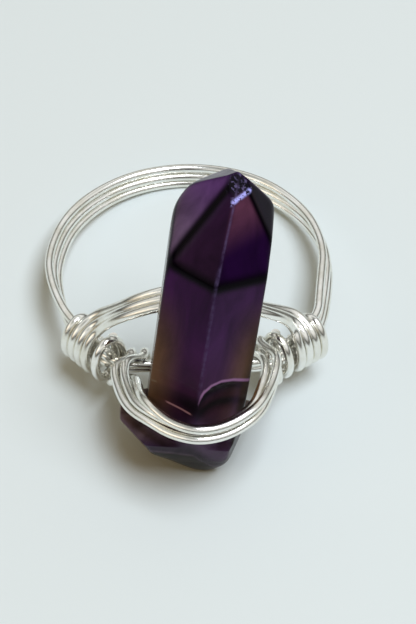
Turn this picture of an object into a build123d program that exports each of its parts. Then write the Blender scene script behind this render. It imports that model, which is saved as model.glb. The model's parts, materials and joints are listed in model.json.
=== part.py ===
from build123d import *

import os
from collections import namedtuple
from math import acos, cos, radians, sin, tan

# Finger ring with a double-ended crystal held outside the band by wound wire.
# Modelling frame: the origin is the centre of the finger hole, +Z is the ring's axis,
# +X is to the right and -Y is the front, where the crystal stands. Azimuths are measured
# round +Z from +X. The finished pieces are laid down together at the end, so that the
# ring rests on the plane z = 0 on the back of its band and on the crystal's foot.

# Wire and band
ring_bore = 18.2
wire_diameter = 0.63
wire_gap = 0.03
wrap_slack_height = 0.85
wrap_slack_width = 0.97
wrap_steps = 8
fillet_share = 0.45
top_angle = 90
leave_angle = 50
hook_slack_height = 0.01
hook_slack_width = 0.47
hook_start = 70
hook_end = 205
hook_level = -0.5

# Crystal: width across flats, taper, heights on the ring's axis and its stance
crystal_flats = 6.5
crystal_draft = 0.25
shoulder_height = 14.75
apex_height = 20.9
crystal_side = 0.38
crystal_gap = 0.215
crystal_lean = 6.2
crystal_nod = 2.0
crystal_turn = -3.0
apex_aside = 0.10
apex_back = 0.08
chip_azimuth = -78
chip_tilt = 57
chip_depth = 0.75

# How far the front of the ring is raised where it rests
rest_tilt = 11.2

# Middle of the broken foot, aside and back of the crystal's axis as shares of its width
# across flats, and below the ring's middle
foot_aside = -0.15
foot_back = -0.04
foot_drop = 2.0

# Counts
prism_sides = 6

# Where the coils' turns cross the top of the band, in wire pitches from their outer
# section: the arch's upper wire, and the loop's wires inside all three of the arch's
coil_start = 1.77
loop_coil_start = coil_start + 2.63

# Sizes that follow from them
wire_radius = wire_diameter / 2
wire_pitch = wire_diameter + wire_gap
ring_radius = ring_bore / 2 + wire_radius
wrap_half_height = wire_pitch + wire_diameter + wrap_slack_height / 2
wrap_half_width = wire_diameter + wrap_slack_width / 2
hook_half_height = wire_pitch / 2 + wire_diameter + hook_slack_height / 2
hook_half_width = wire_diameter + hook_slack_width / 2

# Band sections. reach is the distance from the ring's axis as a share of ring_radius.
# The rest is in wire pitches: lift along the axis, lean and stack the radial and axial
# step from each wire to the next one up, and tuck the middle wire's own radial shift.
Section = namedtuple("Section", "azimuth reach lift lean stack tuck")
left_outer = Section(220.5, 1.118, -0.45, 0.05, 1.00, 0.00)
left_inner = Section(241.8, 1.170, -0.45, 0.00, 1.00, 0.00)
front_left = Section(253.4, 1.072, -0.55, 0.27, 0.90, 0.26)
front_right = Section(286.8, 1.068, -0.55, 0.27, 0.90, 0.26)
right_inner = Section(298.8, 1.170, -0.45, 0.00, 1.00, 0.00)
right_outer = Section(322.2, 1.195, -0.45, -0.05, 1.00, 0.00)
band_sections = [
    Section(90.0, 1.051, 0.00, 0.00, 1.08, -0.18),
    Section(120.0, 1.056, 0.00, 0.12, 1.05, -0.08),
    Section(150.0, 1.055, 0.00, 0.36, 0.93, 0.00),
    Section(178.0, 1.048, 0.00, 0.49, 0.88, 0.00),
    Section(198.0, 1.055, -0.15, 0.38, 0.92, 0.00),
    left_outer,
    left_inner,
    front_left,
    front_right,
    right_inner,
    right_outer,
    Section(344.0, 1.050, -0.10, -0.45, 1.00, 0.08),
    Section(367.0, 1.048, 0.00, -0.27, 1.00, 0.18),
    Section(392.0, 1.052, 0.00, -0.10, 1.00, 0.00),
    Section(420.0, 1.052, 0.00, 0.08, 1.06, -0.12),
]

# The crystal's back ridge stands a gap in front of the band's front stretch
front_middle = radians((front_right.azimuth - front_left.azimuth) / 2)
band_front = front_left.reach * ring_radius * cos(front_middle) + wire_radius
crystal_corner = crystal_flats / 2 / cos(radians(180 / prism_sides))
crystal_front = band_front + crystal_gap + crystal_corner

# Arch behind the crystal, middle wire, as shares of ring_radius. over, back and up are
# the step to the wire above it, in wire pitches.
ArchPoint = namedtuple("ArchPoint", "x y z over back up")
arch_points = [
    ArchPoint(-0.672, -0.852, 0.200, -0.25, 1.10, 0.10),
    ArchPoint(-0.545, -0.920, 0.345, 0.32, 0.96, 0.16),
    ArchPoint(-0.395, -0.975, 0.480, 0.20, 0.99, 0.18),
    ArchPoint(-0.195, -0.998, 0.580, 0.05, 1.01, 0.18),
    ArchPoint(0.040, -1.000, 0.625, 0.00, 1.03, 0.10),
    ArchPoint(0.290, -0.985, 0.560, -0.15, 1.01, -0.10),
    ArchPoint(0.520, -0.930, 0.410, -0.45, 0.92, -0.30),
    ArchPoint(0.675, -0.855, 0.285, -0.40, 0.98, -0.15),
    ArchPoint(0.775, -0.825, 0.190, 0.24, 1.12, 0.00),
]

# Loop in front of the crystal. A point beside the crystal is placed from the crystal's
# axis, x and y as shares of its corner radius, and a point beside the band from the band's
# bend on that side, in wire pitches. z, and the steps from this outer wire to the inner
# wire and to the upper wire, are in wire pitches.
LoopPoint = namedtuple("LoopPoint", "near x y z in_x in_y in_z up_x up_y up_z")
loop_points = [
    LoopPoint("left", 0.298, -2.052, 1.76, 1.12, 0.16, 0.62, -0.74, 0.09, -2.83),
    LoopPoint("crystal", -1.436, 0.441, 1.24, 0.92, 0.05, 0.53, 2.05, 0.15, 0.15),
    LoopPoint("crystal", -1.290, -0.121, 1.51, 0.76, 0.20, 0.70, 1.68, 0.44, 1.23),
    LoopPoint("crystal", -1.100, -0.480, 1.74, 0.43, 0.25, 0.92, 0.91, 0.23, 1.98),
    LoopPoint("crystal", -0.794, -0.786, 2.13, 0.23, 0.26, 0.98, 0.16, 0.19, 2.08),
    LoopPoint("crystal", -0.422, -1.105, 2.20, 0.27, 0.72, 0.73, 0.05, 0.12, 1.52),
    LoopPoint("crystal", 0.087, -1.318, 2.50, 0.00, 0.83, 0.66, 0.00, 0.00, 1.35),
    LoopPoint("crystal", 0.631, -1.120, 2.20, -0.38, 0.68, 0.74, 0.00, 0.00, 1.38),
    LoopPoint("crystal", 1.138, -0.746, 2.72, -0.62, 0.45, 0.75, 0.00, -0.12, 1.50),
    LoopPoint("crystal", 1.351, -0.184, 2.65, -0.98, -0.05, 0.75, 0.04, -0.06, 1.06),
    LoopPoint("crystal", 1.479, 0.381, 2.57, -1.00, -0.05, 0.75, 0.04, -0.06, 1.06),
    LoopPoint("right", 0.904, -2.207, 2.30, -1.60, 0.00, 0.95, -0.05, -0.20, 1.45),
    LoopPoint("right", 1.303, -2.036, -1.06, 0.00, 0.00, 0.00, 0.00, 0.00, 0.00),
]


def at_azimuth(azimuth, distance, height=0.0):
    """Point at an azimuth and distance from the ring's axis."""
    return Vector(distance * cos(radians(azimuth)), distance * sin(radians(azimuth)), height)


def band_point(section, level):
    """Corner of one band wire: level -1 is the lower wire, 0 the middle, 1 the upper."""
    shift = section.lean * level
    if level == 0:
        shift += section.tuck
    distance = section.reach * ring_radius + shift * wire_pitch
    return at_azimuth(section.azimuth, distance, (section.lift + section.stack * level) * wire_pitch)


def wound_points(outer, inner, level, half_width, half_height, travel, start_angle, end_angle):
    """Corners of wire wound round the band from one section towards another.

    travel is how far along it the wire crosses the top, and it gains one wire pitch in
    each turn. Angle 0 faces away from the finger, 90 faces up and 180 faces the finger.
    """
    base = band_point(outer, level)
    along = (band_point(inner, level) - base).normalized()
    away = Vector(0, 0, 1).cross(along)
    if away.dot(base) < 0:
        away = away * -1
    count = max(2, round(abs(end_angle - start_angle) * wrap_steps / 360) + 1)
    reach = 1 / cos(radians(180 / wrap_steps))
    corners = []
    for index in range(count):
        angle = start_angle + (end_angle - start_angle) * index / (count - 1)
        advance = (travel + (angle - top_angle) / 360) * wire_pitch
        side = away * (half_width * reach * cos(radians(angle)))
        height = Vector(0, 0, half_height * reach * sin(radians(angle)))
        corners.append(base + along * advance + side + height)
    return corners


def left_wrap(travel, start_angle, end_angle):
    """Turns round the band on the left."""
    return wound_points(
        left_outer, left_inner, 0, wrap_half_width, wrap_half_height, travel, start_angle, end_angle
    )


def right_wrap(travel, start_angle, end_angle):
    """Turns round the band on the right."""
    return wound_points(
        right_outer, right_inner, 0, wrap_half_width, wrap_half_height, travel, start_angle, end_angle
    )


def left_hook(travel, slack):
    """End hooked over the band's two front wires on the left, slack wire pitches higher."""
    half_height = hook_half_height + slack * wire_pitch
    return wound_points(
        left_inner, front_left, hook_level, hook_half_width, half_height, travel, hook_end, hook_start
    )


def right_hook(travel, slack):
    """End hooked over the band's two front wires on the right, slack wire pitches higher."""
    half_height = hook_half_height + slack * wire_pitch
    return wound_points(
        right_inner, front_right, hook_level, hook_half_width, half_height, travel, hook_start, hook_end
    )


def corner_radii(points, closed=False):
    """Fillet radius for each corner, as large as its two runs allow."""
    count = len(points)
    corners = range(count) if closed else range(1, count - 1)
    radii = []
    for index in corners:
        before = points[index] - points[index - 1]
        after = points[(index + 1) % count] - points[index]
        cosine = before.dot(after) / (before.length * after.length)
        half_turn = acos(max(-1.0, min(1.0, cosine))) / 2
        radii.append(fillet_share * min(before.length, after.length) / tan(half_turn))
    return radii


# Routes of the nine wires
def band_route(level):
    """Closed band wire."""
    return [band_point(section, level) for section in band_sections]


def open_band_route(level):
    """Band wire whose two ends stop inside the wraps."""
    start = band_sections.index(right_inner)
    end = band_sections.index(left_inner)
    around = band_sections[start:] + band_sections[: end + 1]
    return [band_point(section, level) for section in around]


def arch_route(level, left_turn, right_turn):
    """Wire behind the crystal. The turns are how far its ends wind on past the top."""
    travel = coil_start + 1 - level
    middle = []
    for point in arch_points:
        step = Vector(point.over, point.back, point.up) * (wire_pitch * level)
        middle.append(Vector(point.x, point.y, point.z) * ring_radius + step)
    left = left_wrap(travel, leave_angle - left_turn, leave_angle)
    right = right_wrap(travel, leave_angle, leave_angle - right_turn)
    return left + middle + right


def loop_outer_points():
    """Outer wire's stretch round the crystal's front."""
    axis = Vector(crystal_side, -crystal_front, 0)
    bends = {"left": band_point(left_inner, 0), "right": band_point(right_inner, 0)}
    corners = []
    for point in loop_points:
        if point.near == "crystal":
            place = axis + Vector(point.x, point.y, 0) * crystal_corner
            corners.append(place + Vector(0, 0, point.z * wire_pitch))
        else:
            corners.append(bends[point.near] + Vector(point.x, point.y, point.z) * wire_pitch)
    return corners


def loop_inner_points():
    """Inner wire's stretch, nested against the crystal."""
    steps = [Vector(point.in_x, point.in_y, point.in_z) * wire_pitch for point in loop_points]
    return [corner + step for corner, step in zip(loop_outer_points(), steps)]


def loop_upper_points():
    """Upper wire's stretch, over the outer one."""
    steps = [Vector(point.up_x, point.up_y, point.up_z) * wire_pitch for point in loop_points]
    return [corner + step for corner, step in zip(loop_outer_points(), steps)]


routes = {
    "arch_wire_upper": arch_route(level=1, left_turn=550, right_turn=550),
    "arch_wire_middle": arch_route(level=0, left_turn=220, right_turn=220),
    "arch_wire_lower": arch_route(level=-1, left_turn=220, right_turn=220),
    "loop_wire_outer": (
        left_hook(travel=1.85, slack=0.0)
        + loop_outer_points()
        + right_wrap(loop_coil_start, start_angle=625, end_angle=140)
    ),
    "loop_wire_inner": (
        left_hook(travel=3.2, slack=0.0) + loop_inner_points()[:-1] + right_hook(travel=2.2, slack=0.2)
    ),
    "loop_wire_upper": (
        left_wrap(loop_coil_start, start_angle=140, end_angle=625)
        + loop_upper_points()[:-1]
        + right_hook(travel=0.70, slack=2.0)
    ),
}

# Solids
def swept_wire(points):
    """Round wire along the corner points, bent with arcs as large as the runs allow."""
    with BuildPart() as wire:
        with BuildLine() as path:
            FilletPolyline(*points, radius=corner_radii(points))
        with BuildSketch(Plane(origin=path.line @ 0, z_dir=path.line % 0)):
            Circle(wire_radius)
        sweep(path=path.line)
    return wire


def swept_ring(points):
    """Closed round wire, made of two halves that meet in the middle of two runs."""
    middle = len(points) // 2
    start = (points[-1] + points[0]) / 2
    half = (points[middle - 1] + points[middle]) / 2
    radii = corner_radii(points, closed=True)
    with BuildPart() as wire:
        with BuildLine() as first:
            FilletPolyline(start, *points[:middle], half, radius=radii[:middle])
        with BuildSketch(Plane(origin=first.line @ 0, z_dir=first.line % 0)):
            Circle(wire_radius)
        sweep(path=first.line)
        with BuildLine() as second:
            FilletPolyline(half, *points[middle:], start, radius=radii[middle:])
        with BuildSketch(Plane(origin=second.line @ 0, z_dir=second.line % 0)):
            Circle(wire_radius)
        sweep(path=second.line)
    return wire


builders = {
    "band_wire_lower": swept_ring(band_route(-1)),
    "band_wire_middle": swept_ring(band_route(0)),
    "band_wire_upper": swept_wire(open_band_route(1)),
}
for name, points in routes.items():
    builders[name] = swept_wire(points)

# Rest: the ring is tilted back until the band's back edge carries it
rest_turn = Location((0, 0, 0), (-rest_tilt, 0, 0))
bands = [builders[name].part for name in ("band_wire_lower", "band_wire_middle", "band_wire_upper")]
ground = min(band.moved(rest_turn).bounding_box().min.Z for band in bands)
foot_plane = Plane(rest_turn.inverse() * Location((0, 0, ground)))

# Crystal in its own stance: +Z up its axis, a ridge towards the front
blank_width = 3 * crystal_flats
lean = Location((0, 0, 0), (0, crystal_lean, 0))
nod = Location((0, 0, 0), (crystal_nod, 0, 0))
turn = Location((0, 0, 0), (0, 0, crystal_turn))
stance = Location((crystal_side, -crystal_front, 0)) * lean * nod * turn
point_height = apex_height - shoulder_height
apex = Vector(apex_aside * crystal_flats, apex_back * crystal_flats, apex_height)


def direction(azimuth, tilt):
    """Unit vector at an azimuth, tilted up from the level."""
    level = cos(radians(tilt))
    return Vector(level * cos(radians(azimuth)), level * sin(radians(azimuth)), sin(radians(tilt)))


def stone_plane(point, normal):
    """Plane given in the crystal's stance, turned into the modelling frame."""
    origin = (stance * Location(point)).position
    tip = (stance * Location(point + normal)).position
    return Plane(origin=origin, z_dir=tip - origin)


def girdle(azimuth, rise):
    """Corner of the prism where the point begins. rise is a share of the point's height."""
    height = shoulder_height + rise * point_height
    half_flats = crystal_flats / 2 - height * tan(radians(crystal_draft))
    return at_azimuth(azimuth, half_flats / cos(radians(180 / prism_sides)), height)


# Facets of the point, each through two girdle corners and the apex
Facet = namedtuple("Facet", "azimuth rise next_azimuth next_rise")
point_facets = [
    Facet(210, 0.00, 270, 0.00),
    Facet(270, 0.00, 330, -0.05),
    Facet(330, 0.20, 390, 0.45),
    Facet(30, 0.45, 90, 0.58),
    Facet(90, 0.58, 150, 0.50),
    Facet(150, 0.50, 210, 0.00),
]

# Cuts that shape the lower end. reach is the distance from the foot's middle as a share
# of the width across flats. The same cuts shape the flare, with four of its own.
Cut = namedtuple("Cut", "azimuth tilt reach")
foot_cuts = [
    Cut(205.0, -43.0, 0.340),
    Cut(262.0, -31.3, 0.362),
    Cut(270.0, -20.0, 0.362),
    Cut(337.5, -10.0, 0.600),
    Cut(0.0, -33.0, 0.615),
    Cut(300.0, -38.0, 0.560),
    Cut(150.0, -32.0, 0.508),
    Cut(70.0, -30.0, 0.569),
]
flare_cuts = [
    Cut(180.0, 6.0, 0.640),
    Cut(216.0, -24.0, 0.420),
    Cut(92.0, 0.0, 0.323),
    Cut(0.0, 80.0, 0.194),
]
foot_middle = Vector(
    crystal_side + foot_aside * crystal_flats, -crystal_front + foot_back * crystal_flats, -foot_drop
)


def cut_plane(cut):
    """Plane of one cut, facing out of the stone."""
    normal = direction(cut.azimuth, cut.tilt)
    return Plane(origin=foot_middle + normal * (cut.reach * crystal_flats), z_dir=normal)


tip_normal = direction(chip_azimuth, chip_tilt)
crystal_planes = []
for side in range(prism_sides):
    azimuth = 360 / prism_sides * side
    normal = direction(azimuth, crystal_draft)
    crystal_planes.append(stone_plane(at_azimuth(azimuth, crystal_flats / 2), normal))
for facet in point_facets:
    first = girdle(facet.azimuth, facet.rise)
    second = girdle(facet.next_azimuth, facet.next_rise)
    crystal_planes.append(stone_plane(apex, (second - first).cross(apex - first).normalized()))
crystal_planes.append(stone_plane(apex - tip_normal * chip_depth, tip_normal))
crystal_planes += [cut_plane(cut) for cut in foot_cuts]

with BuildPart() as flare:
    with Locations(foot_middle):
        Box(blank_width, blank_width, blank_width)
    for cut in foot_cuts + flare_cuts:
        split(bisect_by=cut_plane(cut), keep=Keep.BOTTOM)
    split(bisect_by=foot_plane, keep=Keep.TOP)

with BuildPart() as crystal:
    with Locations((crystal_side, -crystal_front, apex_height / 2)):
        Box(blank_width, blank_width, 2 * apex_height)
    for plane in crystal_planes:
        split(bisect_by=plane, keep=Keep.BOTTOM)
    split(bisect_by=foot_plane, keep=Keep.TOP)
    add(flare.part)
builders["crystal"] = crystal

# All pieces are laid down together, centred over their own middle
laid = [builder.part.moved(rest_turn).bounding_box() for builder in builders.values()]
middle_x = (min(box.min.X for box in laid) + max(box.max.X for box in laid)) / 2
middle_y = (min(box.min.Y for box in laid) + max(box.max.Y for box in laid)) / 2
rest = Location((-middle_x, -middle_y, -ground)) * rest_turn

os.makedirs("parts", exist_ok=True)
for name, builder in builders.items():
    builder.part.move(rest)
    builder.part.label = name
    export_step(builder.part, f"parts/{name}.step")
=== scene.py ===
import json
from collections import namedtuple
from math import cos, pi, radians, sin, tan

import bpy
import bmesh
import numpy as np
from mathutils import Matrix, Vector


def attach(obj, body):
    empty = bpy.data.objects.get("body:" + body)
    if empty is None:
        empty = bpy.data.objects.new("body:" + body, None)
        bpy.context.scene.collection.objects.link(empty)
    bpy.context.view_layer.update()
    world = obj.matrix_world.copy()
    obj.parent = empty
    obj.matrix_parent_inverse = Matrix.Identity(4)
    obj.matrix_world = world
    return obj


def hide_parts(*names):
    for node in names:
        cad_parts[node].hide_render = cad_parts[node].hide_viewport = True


# Dressed ring: bright silver wire wound round the band and a deep purple crystal held in
# front of it. Lengths in the tables are millimetres in the ring's own frame: the origin is
# the centre of the finger hole, +Z is the ring's axis and -Y is the front.

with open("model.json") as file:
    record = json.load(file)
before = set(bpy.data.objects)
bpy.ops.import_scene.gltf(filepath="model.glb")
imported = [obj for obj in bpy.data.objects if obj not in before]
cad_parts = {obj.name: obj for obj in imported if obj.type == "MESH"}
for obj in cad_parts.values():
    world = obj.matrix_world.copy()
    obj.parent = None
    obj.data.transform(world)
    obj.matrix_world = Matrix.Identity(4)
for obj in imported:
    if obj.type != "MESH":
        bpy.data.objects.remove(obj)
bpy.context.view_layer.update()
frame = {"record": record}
finger_hole = frame["record"]["mounts"][0]
MILLIMETRE = 0.001
hole_centre = Vector(finger_hole["pos_m"])
rest_turn = Vector((0, 0, 1)).rotation_difference(Vector(finger_hole["axis"])).to_matrix()


def laid(point):
    """Point of the ring's own frame, in millimetres, where it lies at rest, in metres."""
    return hole_centre + rest_turn @ (Vector(point) * MILLIMETRE)


def add_object(name, data):
    """Object in the scene."""
    placed = bpy.data.objects.new(name, data)
    bpy.context.scene.collection.objects.link(placed)
    return placed


# Photograph's height in pixels and the camera that took it. Its distance from the middle of
# the finger hole, and how far it stands to the right of it and up, are in millimetres.
PHOTO_HEIGHT = 624
FOCAL_PIXELS = 2380
CAMERA_ELEVATION = 44.0
CAMERA_DISTANCE = 170.0
CAMERA_RIGHT = 1.2857
CAMERA_UP = -3.5
SENSOR_HEIGHT = 24
NEAREST_SEEN = 0.01
FARTHEST_SEEN = 10


def add_camera():
    """Camera at the photograph's angle, looking at the ring from above its front."""
    elevation = radians(CAMERA_ELEVATION)
    right = Vector((1, 0, 0))
    up = Vector((0, sin(elevation), cos(elevation)))
    back = Vector((0, -cos(elevation), sin(elevation)))
    camera = add_object("camera", bpy.data.cameras.new("camera"))
    camera.data.sensor_fit = "VERTICAL"
    camera.data.sensor_height = SENSOR_HEIGHT
    camera.data.lens = FOCAL_PIXELS / PHOTO_HEIGHT * SENSOR_HEIGHT
    camera.data.clip_start = NEAREST_SEEN
    camera.data.clip_end = FARTHEST_SEEN
    turn = rest_turn @ Matrix((right, up, back)).transposed()
    place = laid(back * CAMERA_DISTANCE + right * CAMERA_RIGHT + up * CAMERA_UP)
    camera.matrix_world = Matrix.Translation(place) @ turn.to_4x4()
    bpy.context.scene.camera = camera


# Wire and band, the same sizes as the solids
ring_bore = 18.2
wire_diameter = 0.63
wire_gap = 0.03
wrap_slack_height = 0.85
wrap_slack_width = 0.97
wrap_steps = 8
coil_start = 1.77
loop_coil_start = coil_start + 2.63
top_angle = 90
leave_angle = 50
hook_slack_height = 0.01
hook_slack_width = 0.47
hook_start = 70
hook_end = 205
hook_level = -0.5
wire_radius = wire_diameter / 2
wire_pitch = wire_diameter + wire_gap
ring_radius = ring_bore / 2 + wire_radius
wrap_half_height = wire_pitch + wire_diameter + wrap_slack_height / 2
wrap_half_width = wire_diameter + wrap_slack_width / 2
hook_half_height = wire_pitch / 2 + wire_diameter + hook_slack_height / 2
hook_half_width = wire_diameter + hook_slack_width / 2

# Crystal's sizes and stance, the same as the solid's
crystal_flats = 6.5
crystal_draft = 0.25
shoulder_height = 14.75
apex_height = 20.9
crystal_side = 0.38
crystal_gap = 0.215
crystal_lean = 6.2
crystal_nod = 2.0
crystal_turn = -3.0
apex_aside = 0.10
apex_back = 0.08
chip_azimuth = -78
chip_tilt = 57
chip_depth = 0.75
foot_aside = -0.15
foot_back = -0.04
foot_drop = 2.0
prism_sides = 6

# Band sections. reach is the distance from the ring's axis as a share of ring_radius.
# The rest is in wire pitches: lift along the axis, lean and stack the radial and axial
# step from each wire to the next one up, and tuck the middle wire's own radial shift.
Section = namedtuple("Section", "azimuth reach lift lean stack tuck")
left_outer = Section(220.5, 1.118, -0.45, 0.05, 1.00, 0.00)
left_inner = Section(241.8, 1.170, -0.45, 0.00, 1.00, 0.00)
front_left = Section(253.4, 1.072, -0.55, 0.27, 0.90, 0.26)
front_right = Section(286.8, 1.068, -0.55, 0.27, 0.90, 0.26)
right_inner = Section(298.8, 1.170, -0.45, 0.00, 1.00, 0.00)
right_outer = Section(322.2, 1.195, -0.45, -0.05, 1.00, 0.00)
band_sections = [
    Section(90.0, 1.051, 0.00, 0.00, 1.08, -0.18),
    Section(120.0, 1.056, 0.00, 0.12, 1.05, -0.08),
    Section(150.0, 1.055, 0.00, 0.36, 0.93, 0.00),
    Section(178.0, 1.048, 0.00, 0.49, 0.88, 0.00),
    Section(198.0, 1.055, -0.15, 0.38, 0.92, 0.00),
    left_outer,
    left_inner,
    front_left,
    front_right,
    right_inner,
    right_outer,
    Section(344.0, 1.050, -0.10, -0.45, 1.00, 0.08),
    Section(367.0, 1.048, 0.00, -0.27, 1.00, 0.18),
    Section(392.0, 1.052, 0.00, -0.10, 1.00, 0.00),
    Section(420.0, 1.052, 0.00, 0.08, 1.06, -0.12),
]

# The crystal's back ridge stands a gap in front of the band's front stretch
front_middle = radians((front_right.azimuth - front_left.azimuth) / 2)
band_front = front_left.reach * ring_radius * cos(front_middle) + wire_radius
crystal_corner = crystal_flats / 2 / cos(radians(180 / prism_sides))
crystal_front = band_front + crystal_gap + crystal_corner

# Arch behind the crystal, middle wire, as shares of ring_radius. over, back and up are
# the step to the wire above it, in wire pitches.
ArchPoint = namedtuple("ArchPoint", "x y z over back up")
arch_points = [
    ArchPoint(-0.672, -0.852, 0.200, -0.25, 1.10, 0.10),
    ArchPoint(-0.545, -0.920, 0.345, 0.32, 0.96, 0.16),
    ArchPoint(-0.395, -0.975, 0.480, 0.20, 0.99, 0.18),
    ArchPoint(-0.195, -0.998, 0.580, 0.05, 1.01, 0.18),
    ArchPoint(0.040, -1.000, 0.625, 0.00, 1.03, 0.10),
    ArchPoint(0.290, -0.985, 0.560, -0.15, 1.01, -0.10),
    ArchPoint(0.520, -0.930, 0.410, -0.45, 0.92, -0.30),
    ArchPoint(0.675, -0.855, 0.285, -0.40, 0.98, -0.15),
    ArchPoint(0.775, -0.825, 0.190, 0.24, 1.12, 0.00),
]

# Loop in front of the crystal. A point beside the crystal is placed from the crystal's
# axis, x and y as shares of its corner radius, and a point beside the band from the band's
# bend on that side, in wire pitches. z, and the steps from this outer wire to the inner
# wire and to the upper wire, are in wire pitches.
LoopPoint = namedtuple("LoopPoint", "near x y z in_x in_y in_z up_x up_y up_z")
loop_points = [
    LoopPoint("left", 0.298, -2.052, 1.76, 1.12, 0.16, 0.62, -0.74, 0.09, -2.83),
    LoopPoint("crystal", -1.436, 0.441, 1.24, 0.92, 0.05, 0.53, 2.05, 0.15, 0.15),
    LoopPoint("crystal", -1.290, -0.121, 1.51, 0.76, 0.20, 0.70, 1.68, 0.44, 1.23),
    LoopPoint("crystal", -1.100, -0.480, 1.74, 0.43, 0.25, 0.92, 0.91, 0.23, 1.98),
    LoopPoint("crystal", -0.794, -0.786, 2.13, 0.23, 0.26, 0.98, 0.16, 0.19, 2.08),
    LoopPoint("crystal", -0.422, -1.105, 2.20, 0.27, 0.72, 0.73, 0.05, 0.12, 1.52),
    LoopPoint("crystal", 0.087, -1.318, 2.50, 0.00, 0.83, 0.66, 0.00, 0.00, 1.35),
    LoopPoint("crystal", 0.631, -1.120, 2.20, -0.38, 0.68, 0.74, 0.00, 0.00, 1.38),
    LoopPoint("crystal", 1.138, -0.746, 2.72, -0.62, 0.45, 0.75, 0.00, -0.12, 1.50),
    LoopPoint("crystal", 1.351, -0.184, 2.65, -0.98, -0.05, 0.75, 0.04, -0.06, 1.06),
    LoopPoint("crystal", 1.479, 0.381, 2.57, -1.00, -0.05, 0.75, 0.04, -0.06, 1.06),
    LoopPoint("right", 0.904, -2.207, 2.30, -1.60, 0.00, 0.95, -0.05, -0.20, 1.45),
    LoopPoint("right", 1.303, -2.036, -1.06, 0.00, 0.00, 0.00, 0.00, 0.00, 0.00),
]


def at_azimuth(azimuth, distance, height=0.0):
    """Point at an azimuth and distance from the ring's axis."""
    return Vector((distance * cos(radians(azimuth)), distance * sin(radians(azimuth)), height))


def band_point(section, level):
    """Corner of one band wire: level -1 is the lower wire, 0 the middle, 1 the upper."""
    shift = section.lean * level
    if level == 0:
        shift += section.tuck
    distance = section.reach * ring_radius + shift * wire_pitch
    height = (section.lift + section.stack * level) * wire_pitch
    return at_azimuth(section.azimuth, distance, height)


def wound_points(outer, inner, level, half_width, half_height, travel, start_angle, end_angle):
    """Corners of wire wound round the band from one section towards another.

    travel is how far along it the wire crosses the top, and it gains one wire pitch in
    each turn. Angle 0 faces away from the finger, 90 faces up and 180 faces the finger.
    """
    base = band_point(outer, level)
    along = (band_point(inner, level) - base).normalized()
    away = Vector((0, 0, 1)).cross(along)
    if away.dot(base) < 0:
        away = away * -1
    count = max(2, round(abs(end_angle - start_angle) * wrap_steps / 360) + 1)
    reach = 1 / cos(radians(180 / wrap_steps))
    corners = []
    for index in range(count):
        angle = start_angle + (end_angle - start_angle) * index / (count - 1)
        advance = (travel + (angle - top_angle) / 360) * wire_pitch
        side = away * (half_width * reach * cos(radians(angle)))
        height = Vector((0, 0, half_height * reach * sin(radians(angle))))
        corners.append(base + along * advance + side + height)
    return corners


def left_wrap(travel, start_angle, end_angle):
    """Turns round the band on the left."""
    half = wrap_half_width, wrap_half_height
    return wound_points(left_outer, left_inner, 0, *half, travel, start_angle, end_angle)


def right_wrap(travel, start_angle, end_angle):
    """Turns round the band on the right."""
    half = wrap_half_width, wrap_half_height
    return wound_points(right_outer, right_inner, 0, *half, travel, start_angle, end_angle)


def left_hook(travel, slack):
    """End hooked over the band's two front wires on the left."""
    half = hook_half_width, hook_half_height + slack * wire_pitch
    return wound_points(left_inner, front_left, hook_level, *half, travel, hook_end, hook_start)


def right_hook(travel, slack):
    """End hooked over the band's two front wires on the right."""
    half = hook_half_width, hook_half_height + slack * wire_pitch
    return wound_points(right_inner, front_right, hook_level, *half, travel, hook_start, hook_end)


def band_route(level):
    """Closed band wire."""
    return [band_point(section, level) for section in band_sections]


def open_band_route(level):
    """Band wire whose two ends stop inside the wraps."""
    start = band_sections.index(right_inner)
    end = band_sections.index(left_inner)
    around = band_sections[start:] + band_sections[: end + 1]
    return [band_point(section, level) for section in around]


def arch_route(level, left_turn, right_turn):
    """Wire behind the crystal. The turns are how far its ends wind on past the top."""
    travel = coil_start + 1 - level
    middle = []
    for point in arch_points:
        step = Vector((point.over, point.back, point.up)) * (wire_pitch * level)
        middle.append(Vector((point.x, point.y, point.z)) * ring_radius + step)
    left = left_wrap(travel, leave_angle - left_turn, leave_angle)
    right = right_wrap(travel, leave_angle, leave_angle - right_turn)
    return left + middle + right


def loop_outer_points():
    """Outer wire's stretch round the crystal's front."""
    axis = Vector((crystal_side, -crystal_front, 0))
    bends = {"left": band_point(left_inner, 0), "right": band_point(right_inner, 0)}
    corners = []
    for point in loop_points:
        if point.near == "crystal":
            place = axis + Vector((point.x, point.y, 0)) * crystal_corner
            corners.append(place + Vector((0, 0, point.z * wire_pitch)))
        else:
            corners.append(bends[point.near] + Vector((point.x, point.y, point.z)) * wire_pitch)
    return corners


def loop_inner_points():
    """Inner wire's stretch, nested against the crystal."""
    steps = [Vector((point.in_x, point.in_y, point.in_z)) * wire_pitch for point in loop_points]
    return [corner + step for corner, step in zip(loop_outer_points(), steps)]


def loop_upper_points():
    """Upper wire's stretch, over the outer one."""
    steps = [Vector((point.up_x, point.up_y, point.up_z)) * wire_pitch for point in loop_points]
    return [corner + step for corner, step in zip(loop_outer_points(), steps)]


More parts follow.
